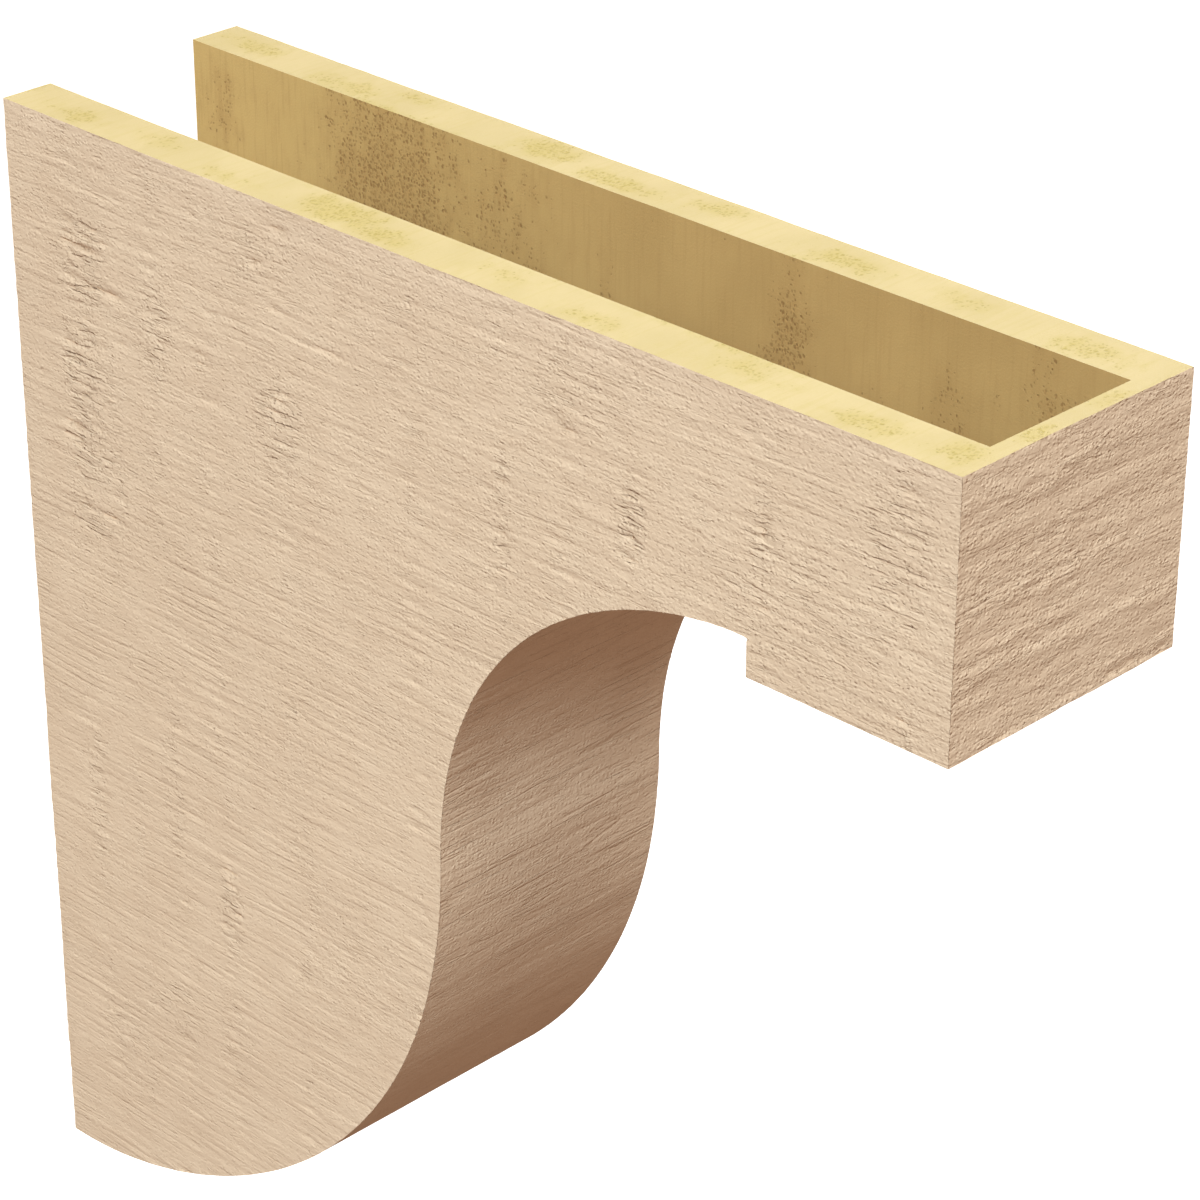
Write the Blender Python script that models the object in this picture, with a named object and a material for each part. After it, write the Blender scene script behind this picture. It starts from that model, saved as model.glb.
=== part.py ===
"""Scrolled wall corbel, moulded as one hollow piece.

The corbel hangs on a wall by its open back and carries a beam or shelf on its
open top. Seen from the side it is a straight arm with a square nose block, a
short step under the block, a hollowed upper curve and a full rounded lobe that
ends level at the wall. Two thick side walls are joined by one thin wall that
follows the whole outline, so the inside is a channel open to the top and the
back.

Frame: +Z up, the wall plane is y = 0, the nose points along -Y, and the width
runs along X. The origin lies on the back rim, in the middle of the short strip
that joins the two side walls at the bottom. Sizes are in metres.
"""
import bpy
import bmesh
import numpy as np
from mathutils import Matrix

INCH = 0.0254

# overall sizes
WIDTH = 4.0 * INCH            # across, along X
PROJECTION = 16.0 * INCH      # from the wall to the nose
HEIGHT = 16.0 * INCH          # top rim to the lowest point at the wall

# nose block and the step behind it
BLOCK_LENGTH = 3.0 * INCH     # nose face back to the step
BLOCK_HEIGHT = 3.5 * INCH     # top rim to the block's underside
STEP_DROP = 0.5 * INCH        # how far the block hangs below the arm

# the two curves under the arm meet upright at the waist
WAIST_OUT = 8.0 * INCH        # waist's distance from the wall
WAIST_DOWN = 8.0 * INCH       # waist's depth below the top rim
# length of each curve's end tangents, as a share of the curve's own span
HOLLOW_TANGENT_TOP = 0.48     # leaves the step level
HOLLOW_TANGENT_WAIST = 0.66   # arrives upright at the waist
LOBE_TANGENT_WAIST = 0.64     # leaves the waist upright
LOBE_TANGENT_WALL = 0.42      # arrives level at the wall
CURVE_STEPS = 56              # straight steps in each curve

# wall thicknesses
SIDE_WALL = 0.8 * INCH
OUTLINE_WALL = 0.3 * INCH

# the cutter runs past the open top and the open back by this much
OVERRUN = 1.0 * INCH

# origin: middle of the bottom strip of the back rim
TOP_ABOVE_ORIGIN = HEIGHT - 0.5 * OUTLINE_WALL


def clear_scene():
    for obj in list(bpy.data.objects):
        bpy.data.objects.remove(obj, do_unlink=True)
    for block in (bpy.data.meshes, bpy.data.curves, bpy.data.materials):
        for item in list(block):
            block.remove(item)
    for coll in list(bpy.data.collections):
        bpy.data.collections.remove(coll)


def new_collection(name):
    coll = bpy.data.collections.new(name)
    bpy.context.scene.collection.children.link(coll)
    return coll


def cubic(start, handle_a, handle_b, end, steps):
    """Points of a cubic curve, both ends included."""
    t = np.linspace(0.0, 1.0, steps + 1)[:, None]
    start, handle_a, handle_b, end = (
        np.array(p, float) for p in (start, handle_a, handle_b, end))
    return ((1 - t) ** 3 * start + 3 * t * (1 - t) ** 2 * handle_a
            + 3 * t ** 2 * (1 - t) * handle_b + t ** 3 * end)


def underside_chain():
    """The wrapped outline as (out from wall, up from top rim), from the top of
    the nose round the block, the step, the hollow and the lobe to the wall."""
    step_out = PROJECTION - BLOCK_LENGTH
    arm_down = BLOCK_HEIGHT - STEP_DROP
    hollow_out = step_out - WAIST_OUT
    hollow_down = WAIST_DOWN - arm_down
    lobe_out = WAIST_OUT
    lobe_down = HEIGHT - WAIST_DOWN
    block = [(PROJECTION, 0.0), (PROJECTION, -BLOCK_HEIGHT),
             (step_out, -BLOCK_HEIGHT)]
    hollow = cubic((step_out, -arm_down),
                   (step_out - HOLLOW_TANGENT_TOP * hollow_out, -arm_down),
                   (WAIST_OUT, -WAIST_DOWN + HOLLOW_TANGENT_WAIST * hollow_down),
                   (WAIST_OUT, -WAIST_DOWN), CURVE_STEPS)
    lobe = cubic((WAIST_OUT, -WAIST_DOWN),
                 (WAIST_OUT, -WAIST_DOWN - LOBE_TANGENT_WAIST * lobe_down),
                 (LOBE_TANGENT_WALL * lobe_out, -HEIGHT),
                 (0.0, -HEIGHT), CURVE_STEPS)
    return np.vstack([block, hollow, lobe[1:]])


def inset(chain, thickness):
    """The chain moved into the piece by the wall's thickness, corners mitred."""
    step = np.diff(chain, axis=0)
    step /= np.linalg.norm(step, axis=1)[:, None]
    normal = np.stack([step[:, 1], -step[:, 0]], axis=1)
    before = np.vstack([normal[:1], normal])
    after = np.vstack([normal, normal[-1:]])
    # the lobe arrives level at the wall
    after[-1] = before[-1] = (0.0, 1.0)
    share = 1.0 + (before * after).sum(axis=1)
    return chain + thickness * (before + after) / share[:, None]


def side_plane():
    """Stands a flat outline up: its x runs out from the wall, its y runs up."""
    return Matrix(((0.0, 0.0, -1.0, 0.0),
                   (-1.0, 0.0, 0.0, 0.0),
                   (0.0, 1.0, 0.0, TOP_ABOVE_ORIGIN),
                   (0.0, 0.0, 0.0, 1.0)))


def slab_from_outline(name, points, width, coll):
    """A flat closed outline, filled and given its width, as a welded mesh."""
    curve = bpy.data.curves.new(name + "_outline", "CURVE")
    curve.dimensions = "2D"
    curve.fill_mode = "BOTH"
    curve.extrude = width / 2.0
    spline = curve.splines.new("POLY")
    spline.points.add(len(points) - 1)
    for dest, (x, y) in zip(spline.points, points):
        dest.co = (float(x), float(y), 0.0, 1.0)
    spline.use_cyclic_u = True
    guide = bpy.data.objects.new(name + "_outline", curve)
    bpy.context.scene.collection.objects.link(guide)
    bpy.context.view_layer.update()
    graph = bpy.context.evaluated_depsgraph_get()
    mesh = bpy.data.meshes.new_from_object(guide.evaluated_get(graph))
    mesh.name = name
    bpy.data.objects.remove(guide, do_unlink=True)
    bm = bmesh.new()
    bm.from_mesh(mesh)
    bmesh.ops.remove_doubles(bm, verts=bm.verts, dist=1e-6)
    bmesh.ops.recalc_face_normals(bm, faces=bm.faces)
    bm.to_mesh(mesh)
    bm.free()
    obj = bpy.data.objects.new(name, mesh)
    obj.matrix_world = side_plane()
    coll.objects.link(obj)
    return obj


def tan_foam():
    """Tan primed skin of the moulded foam."""
    mat = bpy.data.materials.new("tan_primed_foam")
    mat.use_nodes = True
    shader = mat.node_tree.nodes["Principled BSDF"]
    shader.inputs["Base Color"].default_value = (0.68, 0.51, 0.36, 1.0)
    shader.inputs["Roughness"].default_value = 0.8
    shader.inputs["Metallic"].default_value = 0.0
    mat.diffuse_color = (0.68, 0.51, 0.36, 1.0)
    return mat


def main():
    clear_scene()
    parts = new_collection("corbel")
    cutters = new_collection("corbel_cutters")

    chain = underside_chain()
    outline = np.vstack([chain, [(0.0, 0.0)]])
    body = slab_from_outline("corbel_body", outline, WIDTH, parts)
    body.data.materials.append(tan_foam())

    inner = inset(chain, OUTLINE_WALL)
    hollow = np.vstack([
        [(inner[0, 0], OVERRUN)], inner[1:-1],
        [(0.0, -HEIGHT + OUTLINE_WALL), (-OVERRUN, -HEIGHT + OUTLINE_WALL),
         (-OVERRUN, OVERRUN)]])
    cutter = slab_from_outline("hollow_cutter", hollow,
                               WIDTH - 2.0 * SIDE_WALL, cutters)
    cutter.hide_render = True
    cutter.display_type = "WIRE"

    cut = body.modifiers.new("hollow", "BOOLEAN")
    cut.operation = "DIFFERENCE"
    cut.solver = "EXACT"
    cut.object = cutter

    bpy.context.view_layer.update()


main()
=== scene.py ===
"""Looks of the moulded corbel: rough-sawn timber relief under a tan primer on
the outside, raw yellow foam on the rims and inside. One closed mesh stands for
the one solid, on a pale floor under soft light."""
import math

import bmesh
import bpy
import numpy as np
from mathutils import Matrix, Vector
from mathutils.geometry import delaunay_2d_cdt


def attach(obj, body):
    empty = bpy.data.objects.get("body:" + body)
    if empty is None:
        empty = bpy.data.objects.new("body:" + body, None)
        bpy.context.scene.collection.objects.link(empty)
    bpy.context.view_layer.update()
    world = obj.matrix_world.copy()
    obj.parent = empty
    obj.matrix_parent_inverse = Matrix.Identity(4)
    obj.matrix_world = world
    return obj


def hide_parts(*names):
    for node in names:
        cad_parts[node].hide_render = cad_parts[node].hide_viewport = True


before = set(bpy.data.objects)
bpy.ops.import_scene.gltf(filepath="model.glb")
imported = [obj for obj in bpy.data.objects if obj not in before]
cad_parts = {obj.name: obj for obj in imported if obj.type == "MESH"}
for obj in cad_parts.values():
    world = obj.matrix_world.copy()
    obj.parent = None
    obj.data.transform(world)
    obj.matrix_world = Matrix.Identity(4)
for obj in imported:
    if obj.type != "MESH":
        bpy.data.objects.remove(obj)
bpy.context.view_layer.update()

# ---------------------------------------------------------------- sizes, in mm
INCH = 25.4
WIDTH = 4.0 * INCH
PROJECTION = 16.0 * INCH
HEIGHT = 16.0 * INCH
BLOCK_LENGTH = 3.0 * INCH
BLOCK_HEIGHT = 3.5 * INCH
STEP_DROP = 0.5 * INCH
WAIST_OUT = 8.0 * INCH
WAIST_DOWN = 8.0 * INCH
HOLLOW_TANGENT_TOP, HOLLOW_TANGENT_WAIST = 0.48, 0.66
LOBE_TANGENT_WAIST, LOBE_TANGENT_WALL = 0.64, 0.42
SIDE_WALL = 0.8 * INCH
OUTLINE_WALL = 0.3 * INCH
TOP_ABOVE_ORIGIN = HEIGHT - 0.5 * OUTLINE_WALL

# mesh spacing: fine across the grain, coarse along it
ROW = 1.06           # side faces, up and down
COLUMN = 3.5         # side faces, along the grain
FRONT_ROW = 1.12     # nose and scrolled face, along the outline
FRONT_COLUMN = 2.7   # scrolled face, across
NOSE_COLUMN = 1.5    # nose, across
ARRIS = 0.7          # width of the eased edge
PLAIN = 6.5          # inner walls
RIM = 3.6            # cut rims


# ---------------------------------------------------------------- noise
def _hash(x, y, seed):
    h = (x.astype(np.int64) * 374761393 + y.astype(np.int64) * 668265263
         + int(seed) * 2246822519) & 0xFFFFFFFF
    h = ((h ^ (h >> 13)) * 1274126177) & 0xFFFFFFFF
    h = ((h ^ (h >> 15)) * 2654435761) & 0xFFFFFFFF
    return (h ^ (h >> 16)) / 4294967296.0


def noise(x, y, seed):
    """Smooth gradient noise, about -1 to 1, one feature a unit."""
    x, y = np.broadcast_arrays(np.asarray(x, float), np.asarray(y, float))
    xi, yi = np.floor(x), np.floor(y)
    fx, fy = x - xi, y - yi
    wx = fx ** 3 * (fx * (fx * 6 - 15) + 10)
    wy = fy ** 3 * (fy * (fy * 6 - 15) + 10)

    def corner(dx, dy):
        a = 2 * math.pi * _hash(xi + dx, yi + dy, seed)
        return np.cos(a) * (fx - dx) + np.sin(a) * (fy - dy)

    top = corner(0, 0) * (1 - wx) + corner(1, 0) * wx
    low = corner(0, 1) * (1 - wx) + corner(1, 1) * wx
    return 1.45 * (top * (1 - wy) + low * wy)


def ease(low, high, x):
    t = np.clip((x - low) / (high - low), 0, 1)
    return t * t * (3 - 2 * t)


# ---------------------------------------------------------------- outline
def cubic(p0, p1, p2, p3, steps):
    t = np.linspace(0, 1, steps + 1)[:, None]
    p0, p1, p2, p3 = (np.array(p, float) for p in (p0, p1, p2, p3))
    return ((1 - t) ** 3 * p0 + 3 * t * (1 - t) ** 2 * p1
            + 3 * t * t * (1 - t) * p2 + t ** 3 * p3)


def scroll(steps=56):
    """Hollow and lobe, from the step to the wall, as the solid has them:
    (out from the wall, up from the top rim)."""
    out, arm = PROJECTION - BLOCK_LENGTH, BLOCK_HEIGHT - STEP_DROP
    wide, deep = out - WAIST_OUT, WAIST_DOWN - arm
    low = HEIGHT - WAIST_DOWN
    hollow = cubic((out, -arm), (out - HOLLOW_TANGENT_TOP * wide, -arm),
                   (WAIST_OUT, -WAIST_DOWN + HOLLOW_TANGENT_WAIST * deep),
                   (WAIST_OUT, -WAIST_DOWN), steps)
    lobe = cubic((WAIST_OUT, -WAIST_DOWN),
                 (WAIST_OUT, -WAIST_DOWN - LOBE_TANGENT_WAIST * low),
                 (LOBE_TANGENT_WALL * WAIST_OUT, -HEIGHT), (0, -HEIGHT), steps)
    return np.vstack([hollow, lobe[1:]])


def inset(chain, thickness):
    step = np.diff(chain, axis=0)
    step /= np.linalg.norm(step, axis=1)[:, None]
    normal = np.stack([step[:, 1], -step[:, 0]], axis=1)
    before, after = np.vstack([normal[:1], normal]), np.vstack([normal, normal[-1:]])
    after[-1] = before[-1] = (0.0, 1.0)
    return chain + thickness * (before + after) / (1 + (before * after).sum(1))[:, None]


def even(points, spacing, arris=0.0):
    """The open line re-cut at about equal steps, with a short first and last
    step beside an eased edge."""
    d = np.concatenate([[0], np.cumsum(np.linalg.norm(np.diff(points, axis=0), axis=1))])
    inner = d[-1] - 2 * arris
    n = max(1, int(round(inner / spacing)))
    at = arris + np.linspace(0, inner, n + 1)
    if arris:
        at = np.concatenate([[0], at, [d[-1]]])
    return np.stack([np.interp(at, d, points[:, k]) for k in (0, 1)], axis=1)


block = [(PROJECTION, 0.0), (PROJECTION, -BLOCK_HEIGHT),
         (PROJECTION - BLOCK_LENGTH, -BLOCK_HEIGHT),
         (PROJECTION - BLOCK_LENGTH, -(BLOCK_HEIGHT - STEP_DROP))]
curve = scroll()
outer_runs = {
    "nose": even(np.array(block[0:2]), FRONT_ROW, ARRIS),
    "underside": even(np.array(block[1:3]), 1.7, ARRIS),
    "step": even(np.array(block[2:4]), 1.6, ARRIS),
    "scroll": even(curve, FRONT_ROW, ARRIS),
}
inner_chain = inset(np.vstack([block[:3], curve]), OUTLINE_WALL)
inner_runs = {
    "nose": even(inner_chain[0:2], 5.0),
    "underside": even(inner_chain[1:3], 5.0),
    "step": even(inner_chain[2:4], 4.0),
    "scroll": even(inner_chain[3:], 3.2),
}


def joined(runs):
    return np.vstack([runs["nose"], runs["underside"][1:], runs["step"][1:], runs["scroll"][1:]])


# ---------------------------------------------------------------- patches
# A patch holds places in mm in the object's own axes, faces and the pattern map
# (along the grain, across the grain, in mm).
patches = []


MARKS = ("relief", "torn", "clump", "lines", "chatter", "gain", "combed", "open_cells", "pale")


def add_patch(name, co, faces, along, across, normal, depth, material, **marks):
    co = np.asarray(co, float)
    normal = np.broadcast_to(np.asarray(normal, float), co.shape)
    faces = [list(map(int, f)) for f in faces]
    # every face looks out of the solid
    f = np.array([face[:3] for face in faces])
    seen = (np.cross(co[f[:, 1]] - co[f[:, 0]], co[f[:, 2]] - co[f[:, 0]]) * normal[f].mean(1)).sum(1)
    faces = [face if s > 0 else face[::-1] for face, s in zip(faces, seen)]
    patches.append(dict(
        name=name, co=co, faces=faces,
        along=np.asarray(along, float), across=np.asarray(across, float),
        normal=normal,
        depth=np.asarray(depth, float), material=material,
        marks={k: np.broadcast_to(np.asarray(v, float), len(co)) for k, v in marks.items()}))


def to_space(out, across, up):
    """(out from the wall, across from the -X side, up from the top rim) in mm."""
    out, across, up = np.broadcast_arrays(np.asarray(out, float), np.asarray(across, float),
                                          np.asarray(up, float))
    return np.stack([across - WIDTH / 2, -out, up + TOP_ABOVE_ORIGIN], axis=-1)


def distance_to(points, loop, scale):
    """Least distance from each point to the closed line, in scaled steps."""
    p, a = points / scale, loop / scale
    b = np.roll(a, -1, axis=0)
    d = b - a
    length = np.maximum((d ** 2).sum(1), 1e-12)
    best = np.full(len(p), np.inf)
    for k in range(0, len(p), 1500):
        q = p[k:k + 1500, None, :] - a[None]
        s = np.clip((q * d).sum(2) / length, 0, 1)
        r = q - s[..., None] * d
        best[k:k + 1500] = np.sqrt((r ** 2).sum(2)).min(1)
    return best


def inside(points, loop):
    x, y = points[:, 0], points[:, 1]
    found = np.zeros(len(points), bool)
    a, b = loop, np.roll(loop, -1, axis=0)
    for (x0, y0), (x1, y1) in zip(a, b):
        if y0 == y1:
            continue
        hit = (y0 > y) != (y1 > y)
        found ^= hit & (x < (x1 - x0) * (y - y0) / (y1 - y0) + x0)
    return found


def filled(loop, dx, dy, seed, ring=None, ring_step=0):
    """Points and triangles of a flat patch inside the closed line: the line's
    own points, a ring beside an eased edge, and staggered rows within."""
    loop = np.asarray(loop, float)
    scale = np.array([dx, dy])
    lo, hi = loop.min(0), loop.max(0)
    ny = int(round((hi[1] - lo[1]) / dy))
    nx = int(round((hi[0] - lo[0]) / dx))
    ys = lo[1] + (np.arange(ny) + 0.5) * (hi[1] - lo[1]) / ny
    xs = lo[0] + (np.arange(nx + 1) + 0.25) * (hi[0] - lo[0]) / nx
    gx, gy = np.meshgrid(xs, ys)
    gx = gx + 0.5 * (hi[0] - lo[0]) / nx * (np.arange(ny) % 2)[:, None]
    grid = np.stack([gx.ravel(), gy.ravel()], axis=1)
    grid = grid[inside(grid, loop)]
    near = distance_to(grid, loop, scale)
    grid = grid[near > 0.55]
    extra = np.zeros((0, 2))
    if ring is not None:
        extra = np.asarray(ring, float)
        extra = extra[inside(extra, loop)]
        extra = extra[distance_to(extra, loop, np.array([1.0, 1.0])) > ring_step * 0.8]
        if len(extra):
            gap = np.full(len(grid), np.inf)
            e = extra / scale
            for k in range(0, len(grid), 1500):
                g = grid[k:k + 1500, None, :] / scale - e[None]
                gap[k:k + 1500] = np.sqrt((g ** 2).sum(2)).min(1)
            grid = grid[gap > 0.5]
    points = np.vstack([loop, extra, grid])
    n = len(loop)
    edges = [(i, (i + 1) % n) for i in range(n)]
    result = delaunay_2d_cdt([Vector(p) for p in points / scale], edges, [], 1, 1e-7, True)
    flat, faces, origin = result[0], result[2], result[3]
    made = points[np.array([min(o) for o in origin])]
    # only the triangles within the line: spread from one of them up to the line
    at = {i: k for k, o in enumerate(origin) for i in o}
    walls = {frozenset((at[i], at[(i + 1) % n])) for i in range(n)}
    by_edge = {}
    for k, f in enumerate(faces):
        for i in range(3):
            by_edge.setdefault(frozenset((f[i - 1], f[i])), []).append(k)
    middle = made[np.array(faces)].mean(axis=1)
    sure = inside(middle, loop) & (distance_to(middle, loop, scale) > 1.0)
    stack, kept = [int(np.argmax(sure))], set()
    while stack:
        k = stack.pop()
        if k in kept:
            continue
        kept.add(k)
        f = faces[k]
        for i in range(3):
            edge = frozenset((f[i - 1], f[i]))
            if edge not in walls:
                stack.extend(m for m in by_edge[edge] if m not in kept)
    return made, [faces[k] for k in sorted(kept)]


def beside(loop, step):
    """Points one short step inside each point of the closed line."""
    before, after = np.roll(loop, 1, axis=0), np.roll(loop, -1, axis=0)
    d = after - before
    d /= np.maximum(np.linalg.norm(d, axis=1), 1e-9)[:, None]
    return loop + step * np.stack([-d[:, 1], d[:, 0]], axis=1)


# ---------------------------------------------------------------- relief
# Rough-sawn timber: soft corrugation along the grain, thin torn grooves, and
# upright bands where the saw lifted the fibres in short wavelets. Depths in mm
# below the highest point of the face.
TEAR_BANDS = (30, 49, 71, 96, 134, 192, 231, 257, 286, 336, 390)   # mm out from the wall
# larger torn places on the side that shows: out, down, half width, half height, strength
TORN_PLACES = ((36, 48, 13, 17, 1.0), (34, 84, 12, 22, 0.9), (35, 112, 12, 18, 1.0),
               (34, 140, 14, 8, 0.9), (72, 62, 9, 24, 0.7), (131, 74, 13, 20, 0.7),
               (121, 20, 14, 12, 0.5), (97, 268, 6, 20, 1.0), (70, 233, 6, 28, 0.7),
               (27, 256, 5, 34, 0.7), (232, 72, 4, 26, 0.8), (285, 56, 6, 15, 1.0),
               (336, 50, 4, 28, 0.8), (262, 22, 20, 14, 0.5), (385, 30, 16, 30, 0.6),
               (139, 245, 3, 40, 0.6), (33, 345, 14, 16, 0.6), (66, 322, 12, 14, 0.7),
               (95, 320, 10, 22, 0.5), (160, 262, 30, 30, 0.45), (120, 200, 30, 30, 0.3),
               (350, 60, 45, 28, 0.45))
# single torn grooves: out, down, length, rise over its length, depth
GOUGES = ((36, 33.8, 24, -0.8, 0.55), (37, 42.0, 24, -0.4, 0.8), (42, 54.0, 36, -1.2, 0.8),
          (30, 57.5, 13, -0.6, 0.6), (31, 62.5, 14, 0.4, 0.5), (35, 94.6, 6, 2.0, 0.9),
          (27, 107.6, 17, -0.4, 0.8), (26, 112.6, 13, -0.6, 0.8), (43, 137.0, 13, 0.8, 0.8),
          (28, 143.0, 17, 1.8, 0.8), (56, 69.6, 7, 2.4, 0.7), (43, 74.4, 9, 1.2, 0.6),
          (126, 70.0, 17, -0.3, 0.6), (46, 115.8, 4, 1.4, 0.8), (98, 252.6, 8, 0.6, 0.8),
          (98, 258.0, 7, 0.6, 0.7), (98, 268.6, 8, -0.5, 0.7), (97, 279.0, 7, 0.6, 0.7),
          (284, 46.0, 7, -1.2, 0.8), (285, 53.5, 7, -1.6, 0.8), (286, 60.0, 7, -1.4, 0.8),
          (284, 66.5, 8, -1.0, 0.7), (232, 60.0, 6, -1.2, 0.6), (232, 77.0, 6, -1.0, 0.6),
          (337, 40.0, 5, -1.0, 0.6), (337, 56.0, 5, -1.2, 0.6), (66, 205.0, 8, 1.0, 0.6),
          (122, 22.4, 4, 2.4, 0.8), (330, 12.0, 10, -0.8, 0.5), (150, 41.5, 30, -0.5, 0.45))
# pin holes: out, down, radius
PITS = ((57, 7.4, 0.9), (119, 6.0, 0.8), (94, 143.6, 0.9), (70, 124, 0.8), (205, 17, 0.8),
        (262, 27, 0.8), (163, 66, 0.8), (135, 352, 0.9), (52, 205, 0.8), (20, 203, 0.8))


def sawn_side(out, down, seed, places, gouges, pits):
    """Depth of a side face, how torn it is and how clearly it is combed."""
    s = seed * 100
    wob = 1.0 * noise(out / 90, down / 40, s + 1) + 0.18 * noise(out / 26, down / 13, s + 2)
    v = down + wob
    # each upright panel between two tear bands has lines of its own
    edges = np.array(TEAR_BANDS if seed == 1 else [407 - x for x in TEAR_BANDS][::-1], float)
    shift = out + 2.2 * noise(out / 30, down / 9, s + 3)
    panel = np.searchsorted(edges, shift)
    to_edge = np.abs(shift[:, None] - edges[None]).min(1)
    own = ease(-0.15, 0.35, noise(out / 60, down / 26, s + 4))
    jump = 37.0 * panel
    lines = (1 - own) * noise(out / 60, v / 1.62, s + 5) + own * noise(out / 40 + jump, v / 1.6 + jump, s + 6)
    lines2 = noise(out / 17 + jump * own, v / 1.05, s + 7)
    soft = 0.26 * lines + 0.08 * lines2
    # thin grooves, the zero lines of a stretched noise
    field = noise(out / 52 + jump * 0.5 * own, v / 3.3, s + 8)
    groove = np.clip(1 - np.abs(field) / 0.15, 0, 1) ** 1.5
    groove *= ease(-0.3, 0.35, noise(out / 15 + 3 * panel, down / 8, s + 9))
    # torn bands and places
    band = np.exp(-(to_edge / 4.0) ** 2) * ease(0.0, 0.6, noise(panel * 3.7, down / 24, s + 10))
    torn = 0.75 * band + 0.22 * ease(0.1, 0.8, noise(out / 20, down / 26, s + 11))
    for c, d, w, h, k in places:
        r = np.sqrt(((out - c) / w) ** 2 + ((down - d) / h) ** 2)
        torn = np.maximum(torn, k * (1 - ease(0.55, 1.25, r + 0.25 * noise(out / 5, down / 5, s + 12))))
    torn = np.clip(torn, 0, 1)
    wavelet = noise(out / 6.5 + 3 * wob, v / 1.5, s + 13)
    chips = noise(out / 3.6, v / 1.25, s + 14)
    rough = torn * (0.52 * wavelet + 0.34 * chips)
    broad = 0.16 * noise(out / 55, down / 48, s + 15) + 0.10 * noise(out / 21, down / 30, s + 16)
    smooth_spot = ease(0.25, 0.55, noise(out / 26 + 9, down / 17, s + 17)) * (1 - torn)
    depth = (0.62 - broad - (soft * (1 - 0.75 * smooth_spot)) - rough
             + 0.20 * groove * (1 - smooth_spot))
    combed = np.clip(0.42 + 0.5 * ease(110, 180, down) * (1 - ease(215, 260, out))
                     + 0.5 * noise(out / 48, down / 34, s + 19), 0, 1) * (1 - 0.8 * torn) * (1 - 0.7 * smooth_spot)
    rng = np.random.default_rng(70 + seed)
    short = []
    for c in edges:
        d, strong = rng.uniform(4, 12), rng.uniform(0.4, 1.0)
        while d < 400:
            if rng.random() < strong * (0.75 if d < 160 else 0.45):
                short.append((c + rng.normal(0, 2.2), d, rng.uniform(4, 11), rng.normal(0, 0.8),
                              rng.uniform(0.2, 0.6) * (0.6 + 0.5 * strong)))
            d += rng.uniform(2.6, 8.5)
    for c, d, length, rise, deep in list(gouges) + short:
        near = np.abs(down - d) < 4.5
        near &= np.abs(out - c) < length / 2
        if not near.any():
            continue
        along = (out[near] - c) / (length / 2)
        line = d - rise * along / 2 + 0.25 * noise(out[near] / 5, d, s + 18)
        off = down[near] - line
        # steep upper lip, long lower slope
        cut = np.where(off < 0, np.clip(1 + off / 0.5, 0, 1), np.clip(1 - off / 1.6, 0, 1))
        depth[near] += 1.45 * deep * cut * ease(0, 0.35, 1 - np.abs(along))
    for c, d, r in pits:
        depth = depth + 0.5 * np.clip(1.4 - np.sqrt((out - c) ** 2 + (down - d) ** 2) / r, 0, 1)
    return np.clip(depth, 0.02, 2.2), torn, combed


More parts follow.
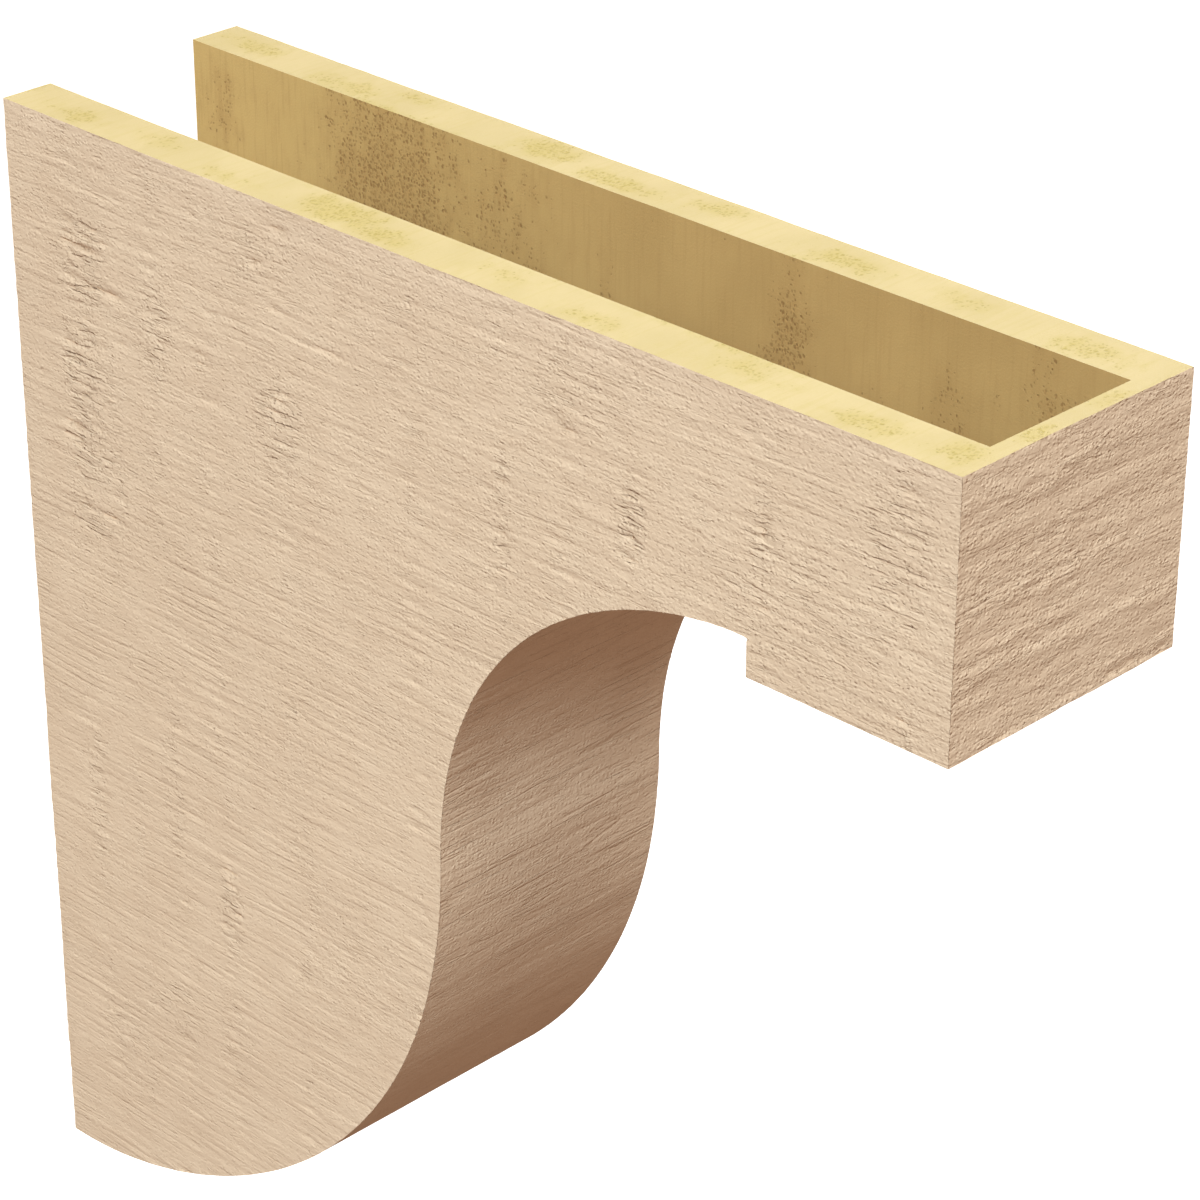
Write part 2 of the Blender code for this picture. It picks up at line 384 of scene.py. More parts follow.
def sawn_front(across, along, run, seed):
    """Depth and tornness of the nose and the scrolled face. across runs over
    the width, along down the outline."""
    s = 900 + seed * 100
    sway = 1.6 * noise(across / 48, along / 40, s + 1) + 0.6 * noise(across / 17, along / 15, s + 2)
    b = along + sway
    lines = noise(across / 30, b / 2.0, s + 3)
    fine = noise(across / 12, b / 1.15, s + 4)
    field = noise(across / 62, b / 5.2, s + 5)
    groove = np.clip(1 - np.abs(field) / 0.11, 0, 1) ** 2 * ease(-0.4, 0.3, noise(across / 70, b / 11, s + 6))
    if run == "nose":
        torn = ease(-0.5, 0.5, noise(across / 50, b / 9, s + 7)) * 0.75 + 0.12
        torn = np.maximum(torn, 0.95 * np.exp(-((b - 42) / 8) ** 2))
        calm = ease(0.15, 0.5, noise(across / 60, (b - 28) / 10, s + 14))
        torn = torn * (1 - 0.7 * calm)
        slant = b - 0.25 * across
        ripple = noise(across / 9.0, slant / 3.0, s + 8)
        chips = noise(across / 2.6, slant / 2.2, s + 9)
        bands = 0.34 * noise(across / 130, (b - 0.05 * across) / 6.0, s + 10)
        rough = (0.15 + torn) * (0.36 * ripple + 0.18 * chips)
        depth = 0.74 - bands - (1 - 0.4 * torn) * (0.12 * lines + 0.05 * fine) - rough + 0.22 * groove
        # the groove just above the lower edge
        lip = along - 86.2 + 0.7 * noise(across / 22, 0.5, s + 11) + 0.3 * noise(across / 6, 0.5, s + 12)
        depth = depth + 0.4 * np.exp(-(lip / 0.8) ** 2) * ease(-0.5, 0.3, noise(across / 19, 3.5, s + 13))
        marks = dict(torn=0.5 * torn, clump=0.3 + 0.7 * torn, lines=0.25, gain=0.92)
    elif run == "scroll":
        chatter_zone = np.exp(-((across - 14) / 17) ** 2) * np.exp(-((along - 190) / 62) ** 2)
        torn = 0.55 * chatter_zone + 0.40 * ease(0.0, 0.5, noise(across / 34, b / 10, s + 7))
        calm = 0.30 + 0.70 * ease(95, 150, along) * (1 - 0.5 * ease(400, 470, along))
        torn = torn * calm
        bands = 0.30 * noise(across / 190, b / 12, s + 10)
        depth = (0.62 - calm * bands - calm * (0.12 * lines + 0.05 * fine)
                 - 0.28 * torn * noise(across / 4.5, b / 2.0, s + 9) + calm * 0.34 * groove)
        marks = dict(torn=torn, clump=0.15 + 0.6 * torn, lines=calm, gain=0.52 + 0.36 * calm,
                     combed=0.05 * calm + 0.28 * ease(270, 350, along),
                     chatter=np.clip(chatter_zone * 1.2, 0, 1))
    else:
        torn = 0.25 * ease(-0.1, 0.6, noise(across / 30, b / 10, s + 7))
        depth = 0.5 - 0.15 * lines - 0.10 * fine + 0.3 * groove - 0.2 * torn * noise(across / 4, b / 1.5, s + 9)
        marks = dict(torn=torn, clump=0.5, lines=0.6, gain=0.92)
    # calmer towards the two side edges, so that the outline stays clean
    hem = 0.3 + 0.7 * ease(0, 5, np.minimum(across, WIDTH - across))
    depth = np.clip(0.6 + (depth - 0.6) * hem, 0.02, 2.0)
    return depth, dict(relief=depth, **marks)


def cast(a, b, seed):
    """Shallow unevenness of a cut or moulded plain face."""
    return 0.07 + 0.05 * noise(a / 34, b / 27, seed) + 0.02 * noise(a / 9, b / 9, seed + 1)


def eased(distance):
    """Extra depth at an edge that the mould and the saw have softened."""
    return 0.42 * np.clip(1 - distance / ARRIS, 0, 1)


# ---------------------------------------------------------------- side faces
top_u = np.linspace(0, PROJECTION - ARRIS, int(round(PROJECTION / COLUMN)) + 1)
top_u = np.concatenate([top_u, [PROJECTION]])            # wall to nose, along the top edge
back_v = np.linspace(0, HEIGHT - ARRIS, int(round(HEIGHT / 2.2)) + 1)
back_v = np.concatenate([back_v, [HEIGHT]])              # top to bottom, along the wall edge
chain = joined(outer_runs)

# closed line of a side face, counter-clockwise in (out, up)
side_loop = np.vstack([
    np.stack([np.zeros(len(back_v) - 1), -back_v[:-1]], 1),       # down the wall edge
    chain[::-1],                                                  # out and up along the outline
    np.stack([top_u[1:-1][::-1], np.zeros(len(top_u) - 2)], 1),   # back along the top
])
side_2d, side_faces = filled(side_loop, COLUMN, ROW, 1, beside(side_loop, ARRIS), ARRIS)


def open_distance(points, line):
    a, b = line[:-1], line[1:]
    d = b - a
    length = np.maximum((d ** 2).sum(1), 1e-12)
    best = np.full(len(points), np.inf)
    for k in range(0, len(points), 1500):
        q = points[k:k + 1500, None, :] - a[None]
        t = np.clip((q * d).sum(2) / length, 0, 1)
        r = q - t[..., None] * d
        best[k:k + 1500] = np.sqrt((r ** 2).sum(2)).min(1)
    return best


edge_gap = open_distance(side_2d, chain)
rng = np.random.default_rng(11)
far_places = [(float(c), float(d), float(w), float(h), float(k)) for c, d, w, h, k in zip(
    rng.uniform(10, 395, 26), rng.uniform(8, 330, 26), rng.uniform(4, 16, 26),
    rng.uniform(10, 30, 26), rng.uniform(0.4, 1.0, 26))]
far_gouges = [(float(c), float(d), float(w), float(h), float(k)) for c, d, w, h, k in zip(
    rng.choice([407 - x for x in TEAR_BANDS], 34) + rng.normal(0, 4, 34), rng.uniform(6, 330, 34),
    rng.uniform(5, 22, 34), rng.uniform(-1.6, 1.6, 34), rng.uniform(0.45, 0.8, 34))]
far_pits = [(float(c), float(d), 0.85) for c, d in zip(rng.uniform(10, 390, 9), rng.uniform(8, 90, 9))]
for name, seed, x, n, places, gouges, pits in (
        ("side_a", 1, 0.0, (-1, 0, 0), TORN_PLACES, GOUGES, PITS),
        ("side_b", 2, WIDTH, (1, 0, 0), far_places, far_gouges, far_pits)):
    out, down = side_2d[:, 0], -side_2d[:, 1]
    depth, torn, combed = sawn_side(out, down, seed, places, gouges, pits)
    depth = depth + eased(edge_gap)
    add_patch(name, to_space(out, x, -down), side_faces, out, down + 500 * seed, n, depth, 0,
              relief=depth, torn=torn, clump=0.42 + 0.8 * torn, lines=0.15,
              gain=0.88 - 0.26 * ease(120, 230, down), combed=combed)

# ---------------------------------------------------------------- wrapped face
across = np.linspace(ARRIS, WIDTH - ARRIS, int(round(WIDTH / FRONT_COLUMN)) + 1)
across = np.concatenate([[0], across, [WIDTH]])


def grid_faces(rows, cols):
    i = np.arange(rows - 1)[:, None] * cols + np.arange(cols - 1)[None]
    return np.stack([i, i + 1, i + cols + 1, i + cols], axis=-1).reshape(-1, 4)


start = 0.0
for k, (run, line) in enumerate(outer_runs.items()):
    step = np.diff(line, axis=0)
    length = np.linalg.norm(step, axis=1)
    step /= length[:, None]
    along = start + np.concatenate([[0], np.cumsum(length)])
    t = np.vstack([step[:1], 0.5 * (step[1:] + step[:-1]), step[-1:]])
    t /= np.linalg.norm(t, axis=1)[:, None]
    if run == "scroll":
        t[-1] = (-1.0, 0.0)
    n = np.stack([np.zeros(len(t)), t[:, 1], t[:, 0]], axis=1)   # outward, in the object's axes
    if run == "nose":
        loop = np.vstack([np.stack([across, np.full(len(across), along[0])], 1),
                          np.stack([np.full(len(along) - 2, WIDTH), along[1:-1]], 1),
                          np.stack([across[::-1], np.full(len(across), along[-1])], 1),
                          np.stack([np.zeros(len(along) - 2), along[1:-1][::-1]], 1)])
        net, faces = filled(loop, NOSE_COLUMN, FRONT_ROW, 9, beside(loop, ARRIS), ARRIS)
        A, B = net[:, 0], net[:, 1]
        co = to_space(PROJECTION, A, -B)
        normal = np.broadcast_to(n[0], co.shape)
    else:
        A, B = (m.ravel() for m in np.meshgrid(across, along))
        faces = grid_faces(len(line), len(across))
        co = to_space(line[:, :1], across[None], line[:, 1:]).reshape(-1, 3)
        normal = np.repeat(n[:, None], len(across), axis=1).reshape(-1, 3)
    depth, marks = sawn_front(A, B, run, k)
    gap = np.minimum(A, WIDTH - A)
    if run != "scroll":
        gap = np.minimum(gap, along[-1] - B)
    if run in ("underside", "step"):
        gap = np.minimum(gap, B - along[0])
    # the wall end of the scroll keeps to the wall plane, the top of the nose to the rim
    add_patch(run, co, faces, A, B + 2000, normal, depth + eased(gap), 0, **marks)
    start = along[-1]

# ---------------------------------------------------------------- open cells of the raw foam
# clouds of open cells: out from the wall, across or down, half length, half width, strength
WALL_CLOUDS = ((98, 34, 44, 66, 0.85), (126, 62, 36, 44, 0.9), (64, 66, 30, 34, 0.6), (150, 30, 30, 46, 0.5),
               (14, 22, 14, 22, 0.5), (195, 40, 10, 40, 0.35), (272, 34, 13, 44, 0.8), (305, 52, 10, 30, 0.5),
               (335, 40, 12, 30, 0.6), (372, 24, 16, 30, 0.55), (52, 110, 26, 40, 0.6), (150, 130, 40, 30, 0.6),
               (90, 210, 34, 50, 0.7), (40, 300, 24, 36, 0.6), (150, 250, 24, 40, 0.5), (240, 90, 24, 20, 0.6))
RIM_CLOUDS = ((28, 8, 20, 7, 0.7), (66, 12, 16, 7, 0.55), (105, 6, 18, 6, 0.5), (152, 11, 22, 11, 1.0), (176, 8, 14, 9, 0.8),
              (224, 12, 18, 7, 0.5), (262, 7, 16, 6, 0.6), (318, 12, 22, 8, 0.55), (368, 9, 20, 8, 0.7), (396, 14, 10, 10, 0.7),
              (20, 92, 18, 7, 0.7), (74, 88, 22, 8, 0.7), (96, 95, 14, 6, 0.6), (160, 92, 20, 9, 0.9), (196, 88, 22, 7, 0.8),
              (232, 94, 16, 6, 0.7), (286, 90, 22, 8, 0.8), (330, 92, 16, 7, 0.6), (380, 90, 20, 9, 0.7),
              (402, 34, 6, 12, 0.7), (402, 66, 6, 14, 0.6))


def clouds(a, b, places, seed):
    """How many cells lie open at each point, 0 to 1."""
    found = 0.16 * ease(-0.2, 0.5, noise(a / 26, b / 18, seed))
    for c, d, w, h, k in places:
        r = np.sqrt(((a - c) / w) ** 2 + ((b - d) / h) ** 2)
        found = np.maximum(found, k * (1 - ease(0.15, 1.25, r + 0.35 * noise(a / 9, b / 16, seed + 1))))
    return np.clip(found, 0, 1)


# ---------------------------------------------------------------- inner faces
inner = joined(inner_runs)
in_top = np.linspace(0, inner[0, 0], int(round(inner[0, 0] / RIM)) + 1)
in_back = np.linspace(0, -inner[-1, 1], int(round(-inner[-1, 1] / RIM)) + 1)
inner_loop = np.vstack([
    np.stack([np.zeros(len(in_back) - 1), -in_back[:-1]], 1),
    inner[::-1],
    np.stack([in_top[1:-1][::-1], np.zeros(len(in_top) - 2)], 1),
])
in_2d, in_faces = filled(inner_loop, PLAIN, PLAIN, 3)
for name, x, n, seed in (("inner_a", SIDE_WALL, (1, 0, 0), 31),
                         ("inner_b", WIDTH - SIDE_WALL, (-1, 0, 0), 41)):
    out, down = in_2d[:, 0], -in_2d[:, 1]
    add_patch(name, to_space(out, x, -down), in_faces, down + seed * 40, out, n, cast(out, down, seed), 2,
              open_cells=clouds(out if seed == 41 else 400 - out, down, WALL_CLOUDS, seed),
              # pale is painted light: lighter towards the open back, where more light reaches the inner walls
              pale=1 - ease(10, 250, out))

in_across = np.linspace(SIDE_WALL, WIDTH - SIDE_WALL, 9)
start = 0.0
for k, (run, line) in enumerate(inner_runs.items()):
    step = np.diff(line, axis=0)
    length = np.linalg.norm(step, axis=1)
    step /= length[:, None]
    along = start + np.concatenate([[0], np.cumsum(length)])
    t = np.vstack([step[:1], 0.5 * (step[1:] + step[:-1]), step[-1:]])
    t /= np.linalg.norm(t, axis=1)[:, None]
    n = -np.stack([np.zeros(len(t)), t[:, 1], t[:, 0]], axis=1)
    A, B = np.meshgrid(in_across, along)
    co = to_space(line[:, :1], in_across[None], line[:, 1:])
    normal = np.repeat(n[:, None], len(in_across), axis=1)
    add_patch("inner_" + run, co.reshape(-1, 3), grid_faces(len(line), len(in_across)),
              B.ravel() + 3000, A.ravel(), normal.reshape(-1, 3), cast(A.ravel(), B.ravel(), 51), 2,
              open_cells=clouds(B.ravel(), A.ravel(), ((60, 50, 40, 40, 0.6), (240, 50, 60, 30, 0.7), (460, 50, 50, 30, 0.6)), 55))
    start = along[-1]

# ---------------------------------------------------------------- rims
# top rim in (out, across), a U closed at the nose
top_loop = np.vstack([
    np.stack([top_u, np.zeros(len(top_u))], 1),
    np.stack([np.full(len(across) - 2, PROJECTION), across[1:-1]], 1),
    np.stack([top_u[::-1], np.full(len(top_u), WIDTH)], 1),
    np.array([[0.0, w] for w in np.linspace(WIDTH, WIDTH - SIDE_WALL, 7)[1:-1]]),
    np.stack([in_top, np.full(len(in_top), WIDTH - SIDE_WALL)], 1),
    np.stack([np.full(len(in_across) - 2, inner[0, 0]), in_across[::-1][1:-1]], 1),
    np.stack([in_top[::-1], np.full(len(in_top), SIDE_WALL)], 1),
    np.array([[0.0, w] for w in np.linspace(SIDE_WALL, 0, 7)[1:-1]]),
])
rim_2d, rim_faces = filled(top_loop, RIM, RIM * 0.8, 5)
o, a = rim_2d[:, 0], rim_2d[:, 1]
add_patch("top_rim", to_space(o, a, 0.0), rim_faces, a + 4000, o, (0, 0, 1),
          cast(o, a, 61) * ease(0, 6, o), 1, open_cells=clouds(o, a, RIM_CLOUDS, 65))

# back rim in (across, up), a U closed at the bottom
back_loop = np.vstack([
    np.stack([np.zeros(len(back_v)), -back_v], 1),
    np.stack([across[1:-1], np.full(len(across) - 2, -HEIGHT)], 1),
    np.stack([np.full(len(back_v), WIDTH), -back_v[::-1]], 1),
    np.array([[w, 0.0] for w in np.linspace(WIDTH, WIDTH - SIDE_WALL, 7)[1:-1]]),
    np.stack([np.full(len(in_back), WIDTH - SIDE_WALL), -in_back], 1),
    np.stack([in_across[::-1][1:-1], np.full(len(in_across) - 2, inner[-1, 1])], 1),
    np.stack([np.full(len(in_back), SIDE_WALL), -in_back[::-1]], 1),
    np.array([[w, 0.0] for w in np.linspace(SIDE_WALL, 0, 7)[1:-1]]),
])
rim_2d, rim_faces = filled(back_loop, RIM * 0.8, RIM, 7)
a, z = rim_2d[:, 0], rim_2d[:, 1]
add_patch("back_rim", to_space(0.0, a, z), rim_faces, a + 4600, -z, (0, 1, 0),
          cast(z, a, 71) * ease(0, 5, np.minimum(-z, z + HEIGHT)) * 0.5, 1,
          open_cells=clouds(-z, a, [(400 - c, w, l, h, k) for c, w, l, h, k in RIM_CLOUDS], 75))


# ---------------------------------------------------------------- one mesh
def build():
    co = np.vstack([p["co"] for p in patches])
    keys = np.round(co * 2000).astype(np.int64)
    _, first, back = np.unique(keys, axis=0, return_index=True, return_inverse=True)
    back = back.ravel()
    base = co[first]
    moved = np.zeros_like(base)
    marks = {k: np.zeros(len(base)) for k in MARKS}
    offset, faces, corner_vert, corner_uv, material, start = 0, [], [], [], [], 0
    for p in patches:
        ids = back[offset:offset + len(p["co"])]
        np.add.at(moved, ids, -p["normal"] * p["depth"][:, None])
        for k, v in p["marks"].items():
            np.maximum.at(marks[k], ids, v)
        for f in p["faces"]:
            g = [ids[i] for i in f]
            if len(set(g)) < 3:
                continue
            faces.append(g)
            corner_uv.extend((p["along"][i], p["across"][i]) for i in f)
            material.append(p["material"])
        offset += len(p["co"])
    me = bpy.data.meshes.new("corbel_body_skin")
    me.from_pydata([tuple(v) for v in (base + moved) / 1000.0], [], faces)
    layer = me.uv_layers.new(name="Grain")
    layer.uv.foreach_set("vector", np.array(corner_uv, np.float32).ravel())
    me.polygons.foreach_set("material_index", np.array(material, np.int32))
    for name, values in marks.items():
        at = me.attributes.new(name, "FLOAT", "POINT")
        at.data.foreach_set("value", values.astype(np.float32))
    me.update()
    return me


mesh = build()
body = bpy.data.objects.new("corbel_body_skin", mesh)
bpy.context.scene.collection.objects.link(body)

bm = bmesh.new()
bm.from_mesh(mesh)
open_edges = sum(1 for e in bm.edges if len(e.link_faces) != 2)
print("skin: verts", len(bm.verts), "triangles", sum(len(f.verts) - 2 for f in bm.faces),
      "edges not shared by two faces", open_edges, "volume", bm.calc_volume(signed=True))
bm.free()
mesh.shade_smooth()
mesh.set_sharp_from_angle(angle=math.radians(42))


# ---------------------------------------------------------------- materials
TAN_A, TAN_B = (0.684, 0.485, 0.328, 1), (0.710, 0.509, 0.347, 1)
# the last tan is painted shade, mixed in where the skin lies deeper: grooves, cracks, pits, holes and torn hollows
TAN_C, TAN_PAINTED_SHADE = (0.654, 0.453, 0.302, 1), (0.46, 0.28, 0.16, 1)
# light, dark, stained, open cell
FOAM_RIM = ((0.610, 0.452, 0.213, 1), (0.650, 0.484, 0.238, 1), (0.560, 0.408, 0.132, 1), (0.412, 0.290, 0.062, 1))
FOAM_INNER = ((0.460, 0.273, 0.096, 1), (0.497, 0.299, 0.107, 1), (0.382, 0.212, 0.070, 1), (0.207, 0.096, 0.028, 1))

# painted light on the inner walls towards the open back
FOAM_PAINTED_LIGHT = (0.599, 0.384, 0.139, 1)


class Nodes:
    """Short hand for a material's node tree."""

    def __init__(self, name):
        self.mat = bpy.data.materials.new(name)
        self.mat.use_nodes = True
        self.tree = self.mat.node_tree
        self.shader = self.tree.nodes["Principled BSDF"]

    def add(self, kind, **props):
        node = self.tree.nodes.new(kind)
        for key, value in props.items():
            setattr(node, key, value)
        return node

    def link(self, out, into):
        self.tree.links.new(out, into)

    def feed(self, value, socket):
        if isinstance(value, (int, float)):
            socket.default_value = value
        elif isinstance(value, tuple):
            socket.default_value = value
        else:
            self.link(value, socket)

    def math(self, op, a, b=0.0, clamp=False):
        n = self.add("ShaderNodeMath", operation=op, use_clamp=clamp)
        self.feed(a, n.inputs[0])
        if len(n.inputs) > 1:
            self.feed(b, n.inputs[1])
        return n.outputs[0]

    def smooth(self, value, low, high, to_low=0.0, to_high=1.0):
        n = self.add("ShaderNodeMapRange", interpolation_type="SMOOTHSTEP")
        self.feed(value, n.inputs["Value"])
        for key, v in (("From Min", low), ("From Max", high), ("To Min", to_low), ("To Max", to_high)):
            n.inputs[key].default_value = v
        return n.outputs["Result"]

    def scaled(self, vector, sx, sy, sz=1.0, shift=(0.0, 0.0, 0.0)):
        n = self.add("ShaderNodeMapping")
        self.link(vector, n.inputs["Vector"])
        n.inputs["Scale"].default_value = (sx, sy, sz)
        n.inputs["Location"].default_value = shift
        return n.outputs["Vector"]

    def noise(self, vector, detail=2.0, rough=0.5, distort=0.0):
        n = self.add("ShaderNodeTexNoise", noise_dimensions="2D")
        self.link(vector, n.inputs["Vector"])
        n.inputs["Scale"].default_value = 1.0
        n.inputs["Detail"].default_value = detail
        n.inputs["Roughness"].default_value = rough
        n.inputs["Distortion"].default_value = distort
        return n.outputs["Fac"]

    def dots(self, vector, size=1.0):
        n = self.add("ShaderNodeTexVoronoi", voronoi_dimensions="2D", feature="F1")
        self.link(vector, n.inputs["Vector"])
        n.inputs["Scale"].default_value = size
        return n.outputs["Distance"], n.outputs["Color"]

    def specks(self, vector, reach):
        """Round specks, 0 to 1, each of its own strength."""
        gap, own = self.dots(vector)
        chance = self.add("ShaderNodeSeparateColor")
        self.link(own, chance.inputs[0])
        return self.math("MULTIPLY", self.smooth(gap, 0.0, reach, 1.0, 0.0),
                         self.smooth(chance.outputs[0], 0.2, 1.0))

    def mix(self, factor, a, b, blend="MIX"):
        n = self.add("ShaderNodeMix", data_type="RGBA", blend_type=blend)
        self.feed(factor, n.inputs[0])
        self.feed(a, n.inputs[6])
        self.feed(b, n.inputs[7])
        return n.outputs[2]

    def bump(self, height, distance, strength=1.0, normal=None):
        n = self.add("ShaderNodeBump")
        n.inputs["Strength"].default_value = strength
        n.inputs["Distance"].default_value = distance
        self.feed(height, n.inputs["Height"])
        if normal is not None:
            self.link(normal, n.inputs["Normal"])
        return n.outputs["Normal"]

    def warp(self, vector, amount, sx, sy):
        """The pattern map with its across-grain value swayed by slow noise."""
        slow = self.noise(self.scaled(vector, sx, sy), 1.0)
        n = self.add("ShaderNodeCombineXYZ")
        self.feed(self.math("MULTIPLY", self.math("SUBTRACT", slow, 0.5), amount), n.inputs["Y"])
        out = self.add("ShaderNodeVectorMath", operation="ADD")
        self.link(vector, out.inputs[0])
        self.link(n.outputs[0], out.inputs[1])
        return out.outputs[0]


def primed_skin():
    n = Nodes("tan_primed_skin")
    uv = n.add("ShaderNodeUVMap", uv_map="Grain").outputs["UV"]

    def mark(name):
        return n.add("ShaderNodeAttribute", attribute_name=name).outputs["Fac"]

    torn, relief, clump = mark("torn"), mark("relief"), mark("clump")
    lines, chatter, gain = mark("lines"), mark("chatter"), mark("gain")
    swayed = n.warp(uv, 1.6, 1 / 60, 1 / 26)

    # heights in mm
    fibre = n.noise(n.scaled(swayed, 1 / 12, 1 / 1.5), 2.0, 0.6)
    grit = n.noise(n.scaled(uv, 1 / 1.5, 1 / 1.4, shift=(3.7, 8.9, 0)), 3.0, 0.65)
    chip = n.noise(n.scaled(uv, 1 / 2.1, 1 / 1.9, shift=(1.7, 2.9, 0)), 3.0, 0.6)
    # grains and small pits of mixed strength
    pit = n.specks(n.scaled(uv, 1 / 1.55, 1 / 1.25, shift=(5.1, 2.3, 0)), 0.50)
    grain = n.specks(n.scaled(uv, 1 / 1.75, 1 / 1.4, shift=(1.4, 6.3, 0)), 0.55)
    # thin broken lines along the grain
    line = n.noise(n.scaled(swayed, 1 / 24, 1 / 2.4, shift=(7.1, 5.3, 0)), 1.0, 0.5)
    crack = n.smooth(n.math("ABSOLUTE", n.math("SUBTRACT", line, 0.5)), 0.0, 0.05, 1.0, 0.0)
    where = n.smooth(n.noise(n.scaled(uv, 1 / 12, 1 / 4.5, shift=(2.2, 6.6, 0)), 2.0), 0.47, 0.60)
    crack = n.math("MULTIPLY", crack, where)
    # straight lines that the saw combed at an even pitch
    level = n.add("ShaderNodeSeparateXYZ")
    n.link(n.warp(uv, 5.5, 1 / 85, 1 / 32), level.inputs[0])
    wave = n.math("SINE", n.math("MULTIPLY", level.outputs[1], 2 * math.pi / 3.15))
    broken = n.smooth(n.noise(n.scaled(uv, 1 / 34, 1 / 3.2, shift=(2.9, 4.1, 0)), 2.0, 0.55), 0.36, 0.62)
    comb = n.math("MULTIPLY", n.math("MULTIPLY", n.smooth(wave, 0.2, 1.0), broken), mark("combed"))
    # short strokes where fibres were pulled out
    stroke = n.noise(n.scaled(swayed, 1 / 13, 1 / 2.0, shift=(6.4, 3.4, 0)), 1.0, 0.5)
    stroke = n.math("MULTIPLY", n.smooth(stroke, 0.54, 0.68), n.smooth(torn, 0.15, 0.9))
    # long grooves that run right across
    long = n.noise(n.scaled(swayed, 1 / 85, 1 / 5.2, shift=(3.1, 9.3, 0)), 1.5, 0.5)
    groove = n.smooth(n.math("ABSOLUTE", n.math("SUBTRACT", long, 0.5)), 0.0, 0.035, 1.0, 0.0)
    there = n.smooth(n.noise(n.scaled(uv, 1 / 40, 1 / 9, shift=(8.2, 1.6, 0)), 2.0), 0.44, 0.56)
    groove = n.math("MULTIPLY", n.math("MULTIPLY", groove, there), lines)
    # marks of the saw's chatter, across the grain
    teeth = n.noise(n.scaled(uv, 1 / 1.7, 1 / 9.5, shift=(4.4, 0.7, 0)), 2.0, 0.5)
    # pin holes where the fibres tore
    hole = n.smooth(n.noise(n.scaled(uv, 1 / 2.1, 1 / 1.5, shift=(0.6, 3.8, 0)), 1.0), 0.20, 0.30, 1.0, 0.0)
    hole = n.math("MULTIPLY", hole, n.smooth(clump, 0.3, 1.1, 0.15, 1.0))

    h = n.math("MULTIPLY", fibre, 0.12)
    h = n.math("ADD", h, n.math("MULTIPLY", grit, 0.20))
    h = n.math("ADD", h, n.math("MULTIPLY", n.math("SUBTRACT", grain, pit), n.math("ADD", n.math("MULTIPLY", clump, 0.12), 0.13)))
    h = n.math("ADD", h, n.math("MULTIPLY", n.math("MULTIPLY", chip, clump), 0.40))
    h = n.math("ADD", h, n.math("MULTIPLY", n.math("MULTIPLY", teeth, chatter), 0.55))
    h = n.math("SUBTRACT", h, n.math("MULTIPLY", crack, 0.12))
    h = n.math("SUBTRACT", h, n.math("MULTIPLY", comb, 0.21))
    h = n.math("SUBTRACT", h, n.math("MULTIPLY", stroke, 0.46))
    h = n.math("SUBTRACT", h, n.math("MULTIPLY", groove, 0.24))
    h = n.math("SUBTRACT", h, n.math("MULTIPLY", hole, 0.35))
    h = n.math("MULTIPLY", h, gain)
    n.link(n.bump(h, 0.001), n.shader.inputs["Normal"])

    broad = n.noise(n.scaled(uv, 1 / 60, 1 / 35, shift=(0.3, 0.9, 0)), 2.0, 0.5)
    patch = n.noise(n.scaled(uv, 1 / 16, 1 / 9, shift=(5.3, 1.9, 0)), 2.0, 0.5)
    tone = n.mix(n.smooth(broad, 0.3, 0.7), TAN_A, TAN_B)
    tone = n.mix(n.smooth(patch, 0.35, 0.75, 0.0, 0.35), tone, TAN_C)
    # painted shade: the tan darkens in the deeper places, torn hollows, cracks, combed lines, strokes, pits,
    # grooves, holes and low fibres
    tone = n.mix(n.smooth(relief, 0.85, 1.9, 0.0, 0.42), tone, TAN_PAINTED_SHADE)
    tone = n.mix(n.math("MULTIPLY", crack, 0.12), tone, TAN_PAINTED_SHADE)
    tone = n.mix(n.math("MULTIPLY", comb, 0.10), tone, TAN_PAINTED_SHADE)
    tone = n.mix(n.math("MULTIPLY", stroke, 0.12), tone, TAN_PAINTED_SHADE)
    tone = n.mix(n.math("MULTIPLY", pit, n.math("ADD", n.math("MULTIPLY", clump, 0.18), 0.10)), tone, TAN_PAINTED_SHADE)
    tone = n.mix(n.math("MULTIPLY", groove, 0.30), tone, TAN_PAINTED_SHADE)
    tone = n.mix(n.math("MULTIPLY", hole, 0.30), tone, TAN_PAINTED_SHADE)
    tone = n.mix(n.smooth(fibre, 0.25, 0.47, 0.12, 0.0), tone, TAN_PAINTED_SHADE)
    n.link(tone, n.shader.inputs["Base Color"])
    n.link(n.smooth(grit, 0.3, 0.7, 0.74, 0.86), n.shader.inputs["Roughness"])
    n.shader.inputs["Specular IOR Level"].default_value = 0.3
    return n.mat


